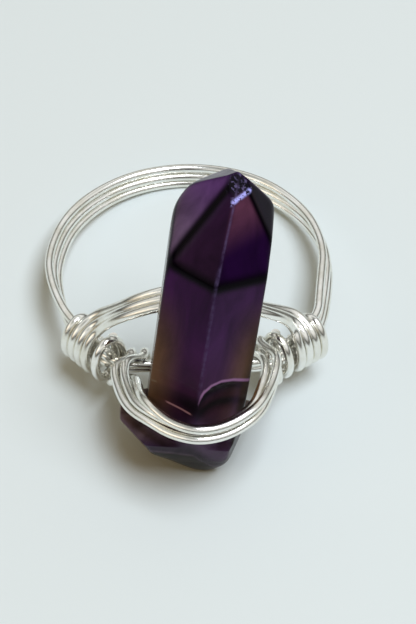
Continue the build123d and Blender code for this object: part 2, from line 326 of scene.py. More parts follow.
closed_routes = {
    "band_wire_lower": band_route(-1),
    "band_wire_middle": band_route(0),
}
open_routes = {
    "band_wire_upper": open_band_route(1),
    "arch_wire_upper": arch_route(level=1, left_turn=550, right_turn=550),
    "arch_wire_middle": arch_route(level=0, left_turn=220, right_turn=220),
    "arch_wire_lower": arch_route(level=-1, left_turn=220, right_turn=220),
    "loop_wire_outer": (
        left_hook(travel=1.85, slack=0.0)
        + loop_outer_points()
        + right_wrap(loop_coil_start, start_angle=625, end_angle=140)
    ),
    "loop_wire_inner": (
        left_hook(travel=3.2, slack=0.0)
        + loop_inner_points()[:-1]
        + right_hook(travel=2.2, slack=0.2)
    ),
    "loop_wire_upper": (
        left_wrap(loop_coil_start, start_angle=140, end_angle=625)
        + loop_upper_points()[:-1]
        + right_hook(travel=0.70, slack=2.0)
    ),
}

# Sides round a wire, steps between its route's corners, and order of the route's curve
WIRE_SIDES = 24
STEPS_PER_CORNER = 12
ROUTE_ORDER = 3


def linear(hex_colour):
    """Linear RGBA of an sRGB hex colour."""
    channels = [int(hex_colour[i : i + 2], 16) / 255 for i in (1, 3, 5)]
    return [c / 12.92 if c <= 0.04045 else ((c + 0.055) / 1.055) ** 2.4 for c in channels] + [1.0]


def add_node(tree, kind, links=(), **settings):
    """Node of a kind in a tree. A setting is a property, or an input given by name or number.

    links are (input, socket) pairs.
    """
    node = tree.nodes.new(kind)
    inputs = settings.pop("inputs", {})
    for key, value in settings.items():
        setattr(node, key, value)
    for key, value in inputs.items():
        node.inputs[key].default_value = value
    for key, socket in links:
        tree.links.new(socket, node.inputs[key])
    return node


def new_material(name):
    """Empty material with a principled shader; returns the material, its tree and shader."""
    material = bpy.data.materials.new(name)
    material.use_nodes = True
    tree = material.node_tree
    return material, tree, tree.nodes["Principled BSDF"]


def ramp(node, stops):
    """Sets a colour ramp's stops from (place, hex colour) pairs."""
    elements = node.color_ramp.elements
    while len(elements) < len(stops):
        elements.new(1.0)
    for element, (place, colour) in zip(elements, stops):
        element.position = place
        element.color = linear(colour)


# Silver-plated copper wire, drawn through a die: bright, with hair-fine lines along it,
# a few rubbed patches and small nicks
def silver_plate():
    material, tree, shader = new_material("drawn_silver_plate")
    run = add_node(tree, "ShaderNodeAttribute", attribute_name="wire_run").outputs["Vector"]
    spot = add_node(tree, "ShaderNodeTexCoord").outputs["Object"]
    # drawing lines: some forty round the wire, 2 mm long
    stretched = add_node(
        tree, "ShaderNodeMapping", [("Vector", run)], inputs={"Scale": (3.0, 3.0, 0.25)}
    )
    lines = add_node(
        tree,
        "ShaderNodeTexNoise",
        [("Vector", stretched.outputs[0])],
        inputs={"Scale": 2.0, "Detail": 3.0, "Roughness": 0.6},
    )
    # rubbed patches about 1.5 mm long
    patches = add_node(
        tree,
        "ShaderNodeTexNoise",
        [("Vector", spot)],
        inputs={"Scale": 1 / (1.5 * MILLIMETRE), "Detail": 4.0, "Roughness": 0.55},
    )
    # nicks: sparse spots a tenth of a millimetre across
    nicks = add_node(
        tree,
        "ShaderNodeTexNoise",
        [("Vector", spot)],
        inputs={"Scale": 1 / (0.35 * MILLIMETRE), "Detail": 2.0, "Roughness": 0.5},
    )
    deep = add_node(
        tree,
        "ShaderNodeMapRange",
        [("Value", nicks.outputs[0])],
        inputs={"From Min": 0.20, "From Max": 0.26, "To Min": -1.0, "To Max": 0.0},
    )
    tint = add_node(tree, "ShaderNodeValToRGB", [("Fac", patches.outputs[0])])
    ramp(tint, [(0.35, "#EAE7DC"), (0.60, "#F6F5F0")])
    tree.links.new(tint.outputs[0], shader.inputs["Base Color"])
    shader.inputs["Metallic"].default_value = 1.0
    rough = add_node(
        tree,
        "ShaderNodeMapRange",
        [("Value", patches.outputs[0])],
        inputs={"From Min": 0.35, "From Max": 0.65, "To Min": 0.26, "To Max": 0.18},
    )
    tree.links.new(rough.outputs[0], shader.inputs["Roughness"])
    line_bump = add_node(
        tree,
        "ShaderNodeBump",
        [("Height", lines.outputs[0])],
        inputs={"Strength": 0.15, "Distance": 0.02 * MILLIMETRE},
    )
    nick_bump = add_node(
        tree,
        "ShaderNodeBump",
        [("Height", deep.outputs[0]), ("Normal", line_bump.outputs[0])],
        inputs={"Strength": 0.5, "Distance": 0.03 * MILLIMETRE},
    )
    tree.links.new(nick_bump.outputs[0], shader.inputs["Normal"])
    return material


def wire_tree():
    """Geometry Nodes tree that turns a route into round wire of a radius and material."""
    tree = bpy.data.node_groups.new("round_wire", "GeometryNodeTree")
    for name, way, kind in (
        ("Geometry", "INPUT", "Geometry"),
        ("Radius", "INPUT", "Float"),
        ("Sides", "INPUT", "Int"),
        ("Material", "INPUT", "Material"),
        ("Geometry", "OUTPUT", "Geometry"),
    ):
        tree.interface.new_socket(name, in_out=way, socket_type="NodeSocket" + kind)
    start = tree.nodes.new("NodeGroupInput").outputs
    length = add_node(tree, "GeometryNodeSplineParameter").outputs["Length"]
    route = add_node(tree, "GeometryNodeCaptureAttribute", [("Geometry", start["Geometry"])])
    route.capture_items.new("FLOAT", "length")
    tree.links.new(length, route.inputs["length"])
    circle = add_node(
        tree,
        "GeometryNodeCurvePrimitiveCircle",
        [("Resolution", start["Sides"])],
        inputs={"Radius": 1.0},
    )
    around = add_node(tree, "GeometryNodeCaptureAttribute", [("Geometry", circle.outputs["Curve"])])
    around.capture_items.new("VECTOR", "around")
    tree.links.new(add_node(tree, "GeometryNodeInputPosition").outputs[0], around.inputs["around"])
    profile = add_node(
        tree,
        "GeometryNodeTransform",
        [("Geometry", around.outputs["Geometry"]), ("Scale", start["Radius"])],
    )
    tube = add_node(
        tree,
        "GeometryNodeCurveToMesh",
        [("Curve", route.outputs["Geometry"]), ("Profile Curve", profile.outputs[0])],
        inputs={"Fill Caps": True},
    )
    parts = add_node(tree, "ShaderNodeSeparateXYZ", [(0, around.outputs["around"])])
    in_millimetres = add_node(
        tree,
        "ShaderNodeMath",
        [(0, route.outputs["length"])],
        operation="DIVIDE",
        inputs={1: MILLIMETRE},
    )
    run = add_node(
        tree,
        "ShaderNodeCombineXYZ",
        [("X", parts.outputs["X"]), ("Y", parts.outputs["Y"]), ("Z", in_millimetres.outputs[0])],
    )
    marked = add_node(
        tree,
        "GeometryNodeStoreNamedAttribute",
        [("Geometry", tube.outputs[0])],
        data_type="FLOAT_VECTOR",
        domain="POINT",
        inputs={"Name": "wire_run"},
    )
    tree.links.new(run.outputs[0], marked.inputs["Value"])
    smooth = add_node(tree, "GeometryNodeSetShadeSmooth", [("Geometry", marked.outputs[0])])
    realized = add_node(tree, "GeometryNodeRealizeInstances", [("Geometry", smooth.outputs[0])])
    finished = add_node(
        tree,
        "GeometryNodeSetMaterial",
        [("Geometry", realized.outputs[0]), ("Material", start["Material"])],
    )
    end = tree.nodes.new("NodeGroupOutput")
    tree.links.new(finished.outputs[0], end.inputs[0])
    return tree


def round_wire(name, corners, closed, tree, material):
    """Wire along a smooth curve that its route's corners guide, as a mesh for its node."""
    curve = bpy.data.curves.new(name + "_route", "CURVE")
    curve.dimensions = "3D"
    curve.resolution_u = STEPS_PER_CORNER
    spline = curve.splines.new("NURBS")
    spline.points.add(len(corners) - 1)
    for point, corner in zip(spline.points, corners):
        point.co = (*laid(corner), 1)
    spline.order_u = ROUTE_ORDER
    spline.use_cyclic_u = closed
    spline.use_endpoint_u = not closed
    spline.resolution_u = STEPS_PER_CORNER
    route = add_object(name + "_route", curve)
    modifier = route.modifiers.new("wire", "NODES")
    modifier.node_group = tree
    sockets = [item for item in tree.interface.items_tree if item.in_out == "INPUT"]
    identifiers = {socket.name: socket.identifier for socket in sockets}
    modifier[identifiers["Radius"]] = wire_radius * MILLIMETRE
    modifier[identifiers["Sides"]] = WIRE_SIDES
    modifier[identifiers["Material"]] = material
    evaluated = route.evaluated_get(bpy.context.evaluated_depsgraph_get())
    mesh = bpy.data.meshes.new_from_object(evaluated)
    bpy.data.objects.remove(route)
    piece = add_object(name + "_drawn", mesh)
    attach(piece, "root")
    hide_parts(name)


# Crystal: the same planes as the solid, met with worn edges
point_height = apex_height - shoulder_height
apex = Vector((apex_aside * crystal_flats, apex_back * crystal_flats, apex_height))
stance = (
    Matrix.Translation((crystal_side, -crystal_front, 0))
    @ Matrix.Rotation(radians(crystal_lean), 4, "Y")
    @ Matrix.Rotation(radians(crystal_nod), 4, "X")
    @ Matrix.Rotation(radians(crystal_turn), 4, "Z")
)

# Facets of the point, each from the apex to two corners of its lower edge. A rise is a
# share of the point's height.
Facet = namedtuple("Facet", "azimuth rise next_azimuth next_rise")
point_facets = [
    Facet(210, 0.00, 270, 0.00),
    Facet(270, 0.00, 330, -0.05),
    Facet(330, 0.20, 390, 0.45),
    Facet(30, 0.45, 90, 0.58),
    Facet(90, 0.58, 150, 0.50),
    Facet(150, 0.50, 210, 0.00),
]
# Cuts of the lower end. reach is a cut's distance from the foot's middle, as a share of the
# width across flats. The same cuts shape the flare, with four of its own.
Cut = namedtuple("Cut", "azimuth tilt reach")
foot_cuts = [
    Cut(205.0, -43.0, 0.340),
    Cut(262.0, -31.3, 0.362),
    Cut(270.0, -20.0, 0.362),
    Cut(337.5, -10.0, 0.600),
    Cut(0.0, -33.0, 0.615),
    Cut(300.0, -38.0, 0.560),
    Cut(150.0, -32.0, 0.508),
    Cut(70.0, -30.0, 0.569),
]
flare_cuts = [
    Cut(180.0, 6.0, 0.640),
    Cut(216.0, -24.0, 0.420),
    Cut(92.0, 0.0, 0.323),
    Cut(0.0, 80.0, 0.194),
]
foot_middle = Vector(
    (
        crystal_side + foot_aside * crystal_flats,
        -crystal_front + foot_back * crystal_flats,
        -foot_drop,
    )
)
Face = namedtuple("Face", "normal offset")


def direction(azimuth, tilt):
    """Unit vector at an azimuth, tilted up from the level."""
    return at_azimuth(azimuth, cos(radians(tilt)), sin(radians(tilt)))


def stone_face(point, normal):
    """Plane given in the crystal's stance, in the laid frame, in millimetres."""
    origin = laid(stance @ point) / MILLIMETRE
    facing = rest_turn @ (stance.to_3x3() @ normal)
    return Face(facing.normalized(), origin.dot(facing.normalized()))


def girdle(azimuth, rise):
    """Corner of the prism where the point begins. rise is a share of the point's height."""
    height = shoulder_height + rise * point_height
    half_flats = crystal_flats / 2 - height * tan(radians(crystal_draft))
    return at_azimuth(azimuth, half_flats / cos(radians(180 / prism_sides)), height)


def cut_face(cut):
    """Plane of one cut of the lower end, in the laid frame."""
    normal = direction(cut.azimuth, cut.tilt)
    facing = rest_turn @ normal
    origin = laid(foot_middle + normal * (cut.reach * crystal_flats)) / MILLIMETRE
    return Face(facing, origin.dot(facing))


prism_faces = []
for side in range(prism_sides):
    azimuth = 360 / prism_sides * side
    prism_faces.append(
        stone_face(at_azimuth(azimuth, crystal_flats / 2), direction(azimuth, crystal_draft))
    )
tip_faces = []
for facet in point_facets:
    first = girdle(facet.azimuth, facet.rise)
    second = girdle(facet.next_azimuth, facet.next_rise)
    tip_faces.append(stone_face(apex, (second - first).cross(apex - first).normalized()))
chip_normal = direction(chip_azimuth, chip_tilt)
chip_face = stone_face(apex - chip_normal * chip_depth, chip_normal)
foot_faces = [cut_face(cut) for cut in foot_cuts]
floor_face = Face(Vector((0, 0, -1)), 0.0)
flare_faces = [cut_face(cut) for cut in flare_cuts]

# Wear of the edges in millimetres: of all of them, more on the foot, where it comes in
# below a height above the floor, and more within a reach of some corners of the point
EDGE_WEAR = 0.045
FOOT_WEAR = 0.14
FOOT_WEAR_TOP = 4.5
FOOT_WEAR_FADE = 2.0
WornCorner = namedtuple("WornCorner", "azimuth rise wear reach")
worn_corners = [
    WornCorner(150, 0.50, 0.26, 1.6),
    WornCorner(180, 0.22, 0.20, 1.8),
    WornCorner(210, 0.00, 0.10, 0.8),
    WornCorner(330, 0.20, 0.05, 1.0),
    WornCorner(30, 0.45, 0.07, 1.4),
]


def edge_wear(points):
    """How far the edges are worn near each point, in millimetres: most at the shoulders."""
    wear = np.full(len(points), EDGE_WEAR)
    wear += FOOT_WEAR * np.clip((FOOT_WEAR_TOP - points[:, 2]) / FOOT_WEAR_FADE, 0, 1)
    for corner in worn_corners:
        centre = np.array(laid(stance @ girdle(corner.azimuth, corner.rise)) / MILLIMETRE)
        gap = np.linalg.norm(points - centre, axis=1)
        wear += corner.wear * np.exp(-((gap / corner.reach) ** 2))
    return wear


def worn_depth(points, faces, wear):
    """Signed distance to a convex stone, its edges rounded by the wear near each point."""
    normals = np.array([face.normal for face in faces])
    offsets = np.array([face.offset for face in faces])
    depths = (points @ normals.T - offsets) / wear[:, None]
    top = depths.max(axis=1)
    return (top + np.log(np.exp(depths - top[:, None]).sum(axis=1))) * wear


def stone_depth(points):
    """Signed distance to the whole stone, its flare joined on."""
    wear = edge_wear(points)
    lower_faces = foot_faces + [floor_face]
    main = worn_depth(points, prism_faces + tip_faces + [chip_face] + lower_faces, wear)
    flare = worn_depth(points, lower_faces + flare_faces, wear)
    return np.minimum(main, flare)


# Body colour of each face with its painted light and shade, as light comes back out of the
# stone: each face is painted lighter or darker by how light falls on it, low up to the share
# start of the face's height, and high from the share end. A face's colour reaches FACE_BLEND
# millimetres past it.
PaintedFaceShading = namedtuple("PaintedFaceShading", "faces low high start end")
painted_face_shading = [
    PaintedFaceShading([prism_faces[4]], "#33142C", "#331040", 0.25, 0.80),
    PaintedFaceShading([prism_faces[5]], "#351B35", "#33183F", 0.25, 0.80),
    PaintedFaceShading([prism_faces[3], prism_faces[0]], "#33221E", "#20122A", 0.20, 0.80),
    PaintedFaceShading([prism_faces[1], prism_faces[2]], "#2A1826", "#221230", 0.20, 0.80),
    PaintedFaceShading([tip_faces[0]], "#200C24", "#200A26", 0.00, 1.00),
    PaintedFaceShading([tip_faces[1]], "#1A0628", "#4E2C40", 0.42, 0.88),
    PaintedFaceShading([tip_faces[2]], "#0E0414", "#0A0210", 0.00, 1.00),
    PaintedFaceShading([tip_faces[3], tip_faces[4]], "#2A1436", "#301840", 0.00, 1.00),
    PaintedFaceShading([tip_faces[5]], "#56465F", "#4E3262", 0.10, 0.90),
    PaintedFaceShading([chip_face], "#0A0610", "#100A18", 0.00, 1.00),
    PaintedFaceShading(foot_faces, "#2A201C", "#40304A", 0.05, 0.60),
    PaintedFaceShading(flare_faces, "#7C7066", "#6A5C6A", 0.00, 1.00),
    PaintedFaceShading([floor_face], "#221C1C", "#221C1C", 0.00, 1.00),
]
FACE_BLEND = 0.10


def rgb(hex_colour):
    """Linear colour of an sRGB hex colour, as an array."""
    return np.array(linear(hex_colour)[:3])


def toward(colours, share, hex_colour):
    """Colours taken towards one colour by a share at each point."""
    return colours + share[:, None] * (rgb(hex_colour) - colours)


def eased(values, start, end):
    """Share of the way from start to end, eased at both."""
    share = np.clip((values - start) / (end - start), 0, 1)
    return share * share * (3 - 2 * share)


def face_colours_with_painted_light(points):
    """Body colour with each face's painted light and shade at each point, blended where faces meet.
    """
    heights = points[:, 2]
    total = np.zeros((len(points), 3))
    weights = np.zeros(len(points))
    for tint in painted_face_shading:
        for face in tint.faces:
            depth = points @ np.array(face.normal) - face.offset
            weight = np.exp(-((depth / FACE_BLEND) ** 2))
            on_face = heights[np.abs(depth) < FACE_BLEND]
            lowest, highest = (on_face.min(), on_face.max()) if len(on_face) else (0.0, 1.0)
            share = (heights - lowest) / max(highest - lowest, 0.1)
            rise = eased(share, tint.start, tint.end)[:, None]
            low = rgb(tint.low)
            high = rgb(tint.high)
            total += weight[:, None] * (low + (high - low) * rise)
            weights += weight
    return total / np.maximum(weights, 1e-9)[:, None]


# Seams where two faces meet, with painted shade where the light is lost inside the stone
# and a painted highlight where a worn edge catches it. width is how far the band spreads on
# each side of the seam, and reach how far in all a point may lie from the two faces, in
# millimetres.
Seam = namedtuple("Seam", "first second width reach")
painted_shade_seams = [
    Seam(prism_faces[4], tip_faces[0], 0.50, 1.2),
    Seam(prism_faces[5], tip_faces[1], 0.50, 1.2),
    Seam(tip_faces[0], tip_faces[5], 0.40, 1.2),
    Seam(tip_faces[2], tip_faces[1], 0.25, 1.2),
]
painted_highlight_seams = [
    Seam(tip_faces[0], tip_faces[1], 0.08, 1.0),
    Seam(prism_faces[4], prism_faces[5], 0.11, 1.0),
]
chip_glint_seams = [Seam(chip_face, tip_faces[1], 0.15, 0.35)]
HIGHLIGHT_SEAM_START = 3.5
HIGHLIGHT_SEAM_FULL = 7.0


def seam_band(points, seams):
    """How strongly each point lies in the bands along the seams, from 0 to 1."""
    band = np.zeros(len(points))
    for seam in seams:
        first = points @ np.array(seam.first.normal) - seam.first.offset
        second = points @ np.array(seam.second.normal) - seam.second.offset
        spread = (first - second) / sin(seam.first.normal.angle(seam.second.normal))
        near = np.exp(-(((first + second) / seam.reach) ** 4))
        band = np.maximum(band, near * np.exp(-(np.abs(spread / seam.width) ** 3)))
    return band


# Lines across the front of the stone as (place across, height) in its own frame: where the
# loop of wire's painted reflection shows pink on the right, and bronze and dim on the left,
# and where its painted shade starts on the left
pink_reflection_line = [
    (0, 4.09), (0.09, 4.69), (0.3, 5.16), (0.73, 5.6),
    (1.34, 5.75), (2.1, 5.56), (2.78, 5.22), (3.3, 4.98),
]
bronze_reflection_line = [(-2.09, 2.80), (-0.96, 2.90), (-0.27, 2.88)]
dim_reflection_line = [(-3.5, 3.90), (-2.75, 4.12)]
left_shade_line = [(-3.25, 3.85), (-2.4, 4.15), (-1.5, 4.35), (0, 4.6)]

# Share of light left by the painted shade at a depth below the pink line and the left shade's
right_light_under_painted_shade = [
    (-0.06, 1), (0.12, 0.12), (0.6, 0.06), (1.0, 0.35), (1.35, 0.5),
    (1.6, 0.3), (1.8, 0.05), (2.1, 0.08), (2.5, 0.5), (3.0, 0.8),
]
left_light_under_painted_shade = [(-0.2, 1), (0.25, 0.4), (0.7, 0.15), (1.1, 0.2), (1.4, 0.6), (2.0, 0.8)]

# Edge between violet and brown on the foot, as (place across, height) from the foot's middle
foot_line = [
    (-6.0, 0.2), (-3.6, 0.6), (-1.8, 0.52), (-0.57, 0.28),
    (0.87, -0.18), (1.82, -1.83), (2.31, -2.32), (3.3, -2.6),
]

# The front starts this far from the stone's axis and fades in over a stretch. A line's slope
# is taken over a step each way, and its ends fade over a stretch.
FRONT_START = 1.5
FRONT_FADE = 0.7
LINE_STEP = 0.03
LINE_FADE = 0.15

# Painted shadow pool where the front faces meet below the wire: height of its middle, spread
# across, spread in height, and share of the light that it takes
SHADOW_POOL_HEIGHT = 3.15
SHADOW_POOL_ACROSS = 0.5
SHADOW_POOL_RISE = 0.8
SHADOW_POOL_TAKES = 0.97

# Where each shade comes in, from its first value to its last, in millimetres in the stone's
# own frame: the painted brown of the floor outwards, downwards and above the foot; the left's
# painted shade, of which its outer side has a share; red in the painted shade by depth below
# the pink line, up to a share; and the dull front downwards and above the foot. The chip's
# dullness fades out over CHIP_SKIN from its face.
BROWN_OUT = (1.0, 3.3)
BROWN_DOWN = (13.5, 6.5)
BROWN_ABOVE_FOOT = (0.2, 1.5)
LEFT_SHADED = (-2.4, -0.6)
LEFT_OUTER_SHARE = 0.4
RED_START = 0.8
RED_FADE = 0.6
RED_SHARE = 0.6
DULL_DOWN = (5.6, 4.9)
DULL_ABOVE_FOOT = (0.5, 1.5)
CHIP_SKIN = 0.08

# The same on the foot, from its middle: its front, its left end and its dark right side,
# which leans with the stone; how near a point lies to its faces; how far violet and brown
# run into each other, how the violet is painted lighter upwards, and the lip between the two
FOOT_FRONT = 0.8
FOOT_FRONT_FADE = 0.6
FOOT_LEFT = (-5.2, -4.2)
FOOT_RIGHT = (3.0, 3.5)
FOOT_RIGHT_LEAN = 0.11
FOOT_SKIN = 0.5
FOOT_BLEND = 0.35
VIOLET_UP = (0.5, 2.2)
VIOLET_PAINTED_LIGHT = 2.2
LIP_WIDTH = 0.16
LIP_SHARE = 0.5


def along(line, values):
    """Height of a line, or share of light, at each value."""
    places, heights = zip(*line)
    return np.interp(values, places, heights)


def stone_places(points):
    """Points in the stone's own frame."""
    centre = np.array(laid(stance @ Vector((0, 0, 0))) / MILLIMETRE)
    to_stone = stance.inverted().to_3x3() @ rest_turn.inverted()
    return (points - centre) @ np.array(to_stone).T


def on_front(depth):
    """1 on the stone's front, down to 0 towards its sides."""
    return np.clip((-FRONT_START - depth) / FRONT_FADE, 0, 1)


def wire_reflection_values(places):
    """Distance of each point from the pink, bronze and dim lines of painted reflection, and each
    line's strength.
    """
    across, depth, height = places.T
    front = on_front(depth)
    offsets = []
    strengths = []
    for line in (pink_reflection_line, bronze_reflection_line, dim_reflection_line):
        step = along(line, across + LINE_STEP) - along(line, across - LINE_STEP)
        rise = step / (2 * LINE_STEP)
        offsets.append((height - along(line, across)) / np.sqrt(1 + rise**2))
        past = np.maximum(line[0][0] - across, across - line[-1][0])
        strengths.append(front * np.clip(-past / LINE_FADE, 0, 1))
    return np.column_stack(offsets), np.column_stack(strengths)


def paint_floor_brown_sides(places, colours):
    """Paints the stone's sides lower down with the brown of the floor seen through them."""
    across, _, height = places.T
    brown = eased(np.abs(across), *BROWN_OUT) * eased(height, *BROWN_DOWN)
    return toward(colours, brown * eased(height, *BROWN_ABOVE_FOOT), "#58402C")


def shade_front(places, colours):
    """Paints reddened shade on the front below the lines of the wire loop's painted reflection."""
    across, depth, height = places.T
    front = on_front(depth)
    below_pink = along(pink_reflection_line, across) - height
    left = along(left_light_under_painted_shade, along(left_shade_line, across) - height)
    # the painted shade on the left face is lighter towards its outer side
    inner = eased(across, *LEFT_SHADED)
    left = 1 - (1 - left) * (LEFT_OUTER_SHARE + (1 - LEFT_OUTER_SHARE) * inner)
    light = np.where(across > 0, along(right_light_under_painted_shade, below_pink), left)
    spread = (across / SHADOW_POOL_ACROSS) ** 2
    shadow_pool = SHADOW_POOL_TAKES * np.exp(-spread - ((height - SHADOW_POOL_HEIGHT) / SHADOW_POOL_RISE) ** 2)
    reddish = np.clip((below_pink - RED_START) / RED_FADE, 0, RED_SHARE) * (across > 0)
    colours = toward(colours, reddish * front, "#2E1216")
    return colours * (1 - front * (1 - light * (1 - shadow_pool)))[:, None]


def part_foot(points, colours):
    """Parts the foot's front in violet above its line and brown below, darker at the right, with
    the violet painted lighter upwards.
    """
    ring_places = (points - np.array(hole_centre / MILLIMETRE)) @ np.array(rest_turn)
    across, depth, height = (ring_places - np.array(foot_middle)).T
    depths = np.array([points @ np.array(face.normal) - face.offset for face in foot_faces])
    on_foot = np.exp(-((depths.max(axis=0) / FOOT_SKIN) ** 2))
    on_foot *= np.clip((-FOOT_FRONT - depth) / FOOT_FRONT_FADE, 0, 1)
    on_foot *= eased(across, *FOOT_LEFT)
    over = height - along(foot_line, across)
    # the violet is painted lighter above the line, and a pale lip runs along it
    gain = 1 + VIOLET_PAINTED_LIGHT * eased(over, *VIOLET_UP)
    violet = (np.clip(over / FOOT_BLEND + 0.5, 0, 1) * gain)[:, None]
    parted = rgb("#16110E") * np.maximum(1 - violet, 0) + rgb("#281C2E") * violet
    right_side = eased(across - FOOT_RIGHT_LEAN * height, *FOOT_RIGHT)
    parted = toward(parted, right_side, "#1C1412")
    parted = toward(parted, LIP_SHARE * np.exp(-((over / LIP_WIDTH) ** 2)), "#5A4C5C")
    return colours + on_foot[:, None] * (parted - colours)


def add_values(mesh, name, kind, values):
    """Attribute on a mesh's points."""
    attribute = mesh.attributes.new(name, kind, "POINT")
    key = {"FLOAT_COLOR": "color", "FLOAT_VECTOR": "vector"}[kind]
    attribute.data.foreach_set(key, np.asarray(values, dtype=np.float32).ravel())


# Rings and spokes of the stone's mesh. Its points are cast out from a line inside it, which
# ends APEX_MARGIN below the apex. Rays leave it level between two shares of the rings, from
# LOWEST_RAY above its lower end to HIGHEST_RAY below its upper one, and fan out past them.
# The surface is found along each ray by halving what is left of it, in millimetres.
STONE_RINGS = 260
STONE_SPOKES = 220
APEX_MARGIN = 1.0
LOWEST_RAY = 1.2
HIGHEST_RAY = 1.5
LEVEL_START = 0.18
LEVEL_END = 0.82
LONGEST_RAY = 12.0
HALVINGS = 30


def stone_points():
    """Points of the worn surface: its lowest, ring after ring, and its highest."""
    bottom = np.array(laid(foot_middle) / MILLIMETRE)
    bottom[2] = 0.0
    apex_place = np.array(laid(stance @ apex) / MILLIMETRE)
    top = apex_place - (apex_place - bottom) / np.linalg.norm(apex_place - bottom) * APEX_MARGIN
    length = np.linalg.norm(top - bottom)
    axis = (top - bottom) / length
    side = np.cross(axis, [0, 1, 0])
    side /= np.linalg.norm(side)
    front = np.cross(axis, side)
    spoke = np.arange(STONE_SPOKES) * 2 * pi / STONE_SPOKES
    ray_out = np.outer(np.cos(spoke), side) + np.outer(np.sin(spoke), front)
    rings = []
    for share in np.linspace(0, 1, STONE_RINGS):
        level = min(1, max(0, (share - LEVEL_START) / (LEVEL_END - LEVEL_START)))
        place = LOWEST_RAY + (length - LOWEST_RAY - HIGHEST_RAY) * level
        down = min(0, (share - LEVEL_START) / LEVEL_START)
        up = max(0, (share - LEVEL_END) / (1 - LEVEL_END))
        pitch = pi / 2 * (down + up)
        origin = bottom + axis * place
        rays = ray_out * cos(pitch) + axis * sin(pitch)
        near = np.zeros(STONE_SPOKES)
        far = np.full(STONE_SPOKES, LONGEST_RAY)
        for _ in range(HALVINGS):
            middle = (near + far) / 2
            inside = stone_depth(origin + rays * middle[:, None]) < 0
            near = np.where(inside, middle, near)
            far = np.where(inside, far, middle)
        rings.append(origin + rays * near[:, None])
    lowest = rings[0].mean(axis=0)[None]
    highest = rings[-1].mean(axis=0)[None]
    return np.concatenate([lowest, *rings[1:-1], highest])


def stone_polygons(last):
    """Faces between the rings, and from the end rings to the lowest and the last point."""
    count = STONE_SPOKES
    polygons = []
    for spoke in range(count):
        after = (spoke + 1) % count
        polygons.append((0, 1 + after, 1 + spoke))
        base = 1 + (STONE_RINGS - 3) * count
        polygons.append((last, base + spoke, base + after))
        for ring in range(STONE_RINGS - 3):
            low = 1 + ring * count
            high = low + count
            polygons.append((low + spoke, low + after, high + after, high + spoke))
    return polygons


def crystal_mesh(material):
    """Closed mesh of the stone, with its colours as attributes, that stands for its node."""
    points = stone_points()
    mesh = bpy.data.meshes.new("crystal_polished")
    corners = [tuple(point * MILLIMETRE) for point in points]
    mesh.from_pydata(corners, [], stone_polygons(len(points) - 1))
    mesh.polygons.foreach_set("use_smooth", [True] * len(mesh.polygons))
    shape = bmesh.new()
    shape.from_mesh(mesh)
    bmesh.ops.recalc_face_normals(shape, faces=shape.faces)
    shape.to_mesh(mesh)
    shape.free()
    places = stone_places(points)
    # body colour with the faces' painted light and shade, the painted floor brown, the painted
    # shade under the wire and the foot's painted lighter violet
    colours = shade_front(places, paint_floor_brown_sides(places, face_colours_with_painted_light(points)))
    colours = np.column_stack([part_foot(points, colours), np.ones(len(points))])
    add_values(mesh, "body_colour_and_painted_light", "FLOAT_COLOR", colours)
    _, depth, height = places.T
    # painted shade along the dark seams, and painted highlights along the worn seams and the chip's
    # lip
    bands = [seam_band(points, seams) for seams in (painted_shade_seams, painted_highlight_seams, chip_glint_seams)]
    bands[1] *= eased(height, HIGHLIGHT_SEAM_START, HIGHLIGHT_SEAM_FULL)
    add_values(mesh, "seam_shade_and_highlights", "FLOAT_VECTOR", np.column_stack(bands))
    add_values(mesh, "stone_place", "FLOAT_VECTOR", places)
    # distances to the lines of the wire's painted reflection on the front, and their strengths
    offsets, strengths = wire_reflection_values(places)
    add_values(mesh, "wire_reflection_offsets", "FLOAT_VECTOR", offsets)
    add_values(mesh, "wire_reflection_strengths", "FLOAT_VECTOR", strengths)
    # the chip is dull, and so is the front below the wire's lines
    from_chip = points @ np.array(chip_face.normal) - chip_face.offset
    chip = np.exp(-((from_chip / CHIP_SKIN) ** 2))
    below = on_front(depth) * eased(height, *DULL_DOWN) * eased(height, *DULL_ABOVE_FOOT)
    dulled = np.column_stack([chip, np.maximum(chip, below), np.zeros(len(points))])
    add_values(mesh, "dulled", "FLOAT_VECTOR", dulled)
    mesh.materials.append(material)
    piece = add_object("crystal_polished", mesh)
    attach(piece, "root")
    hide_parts("crystal")
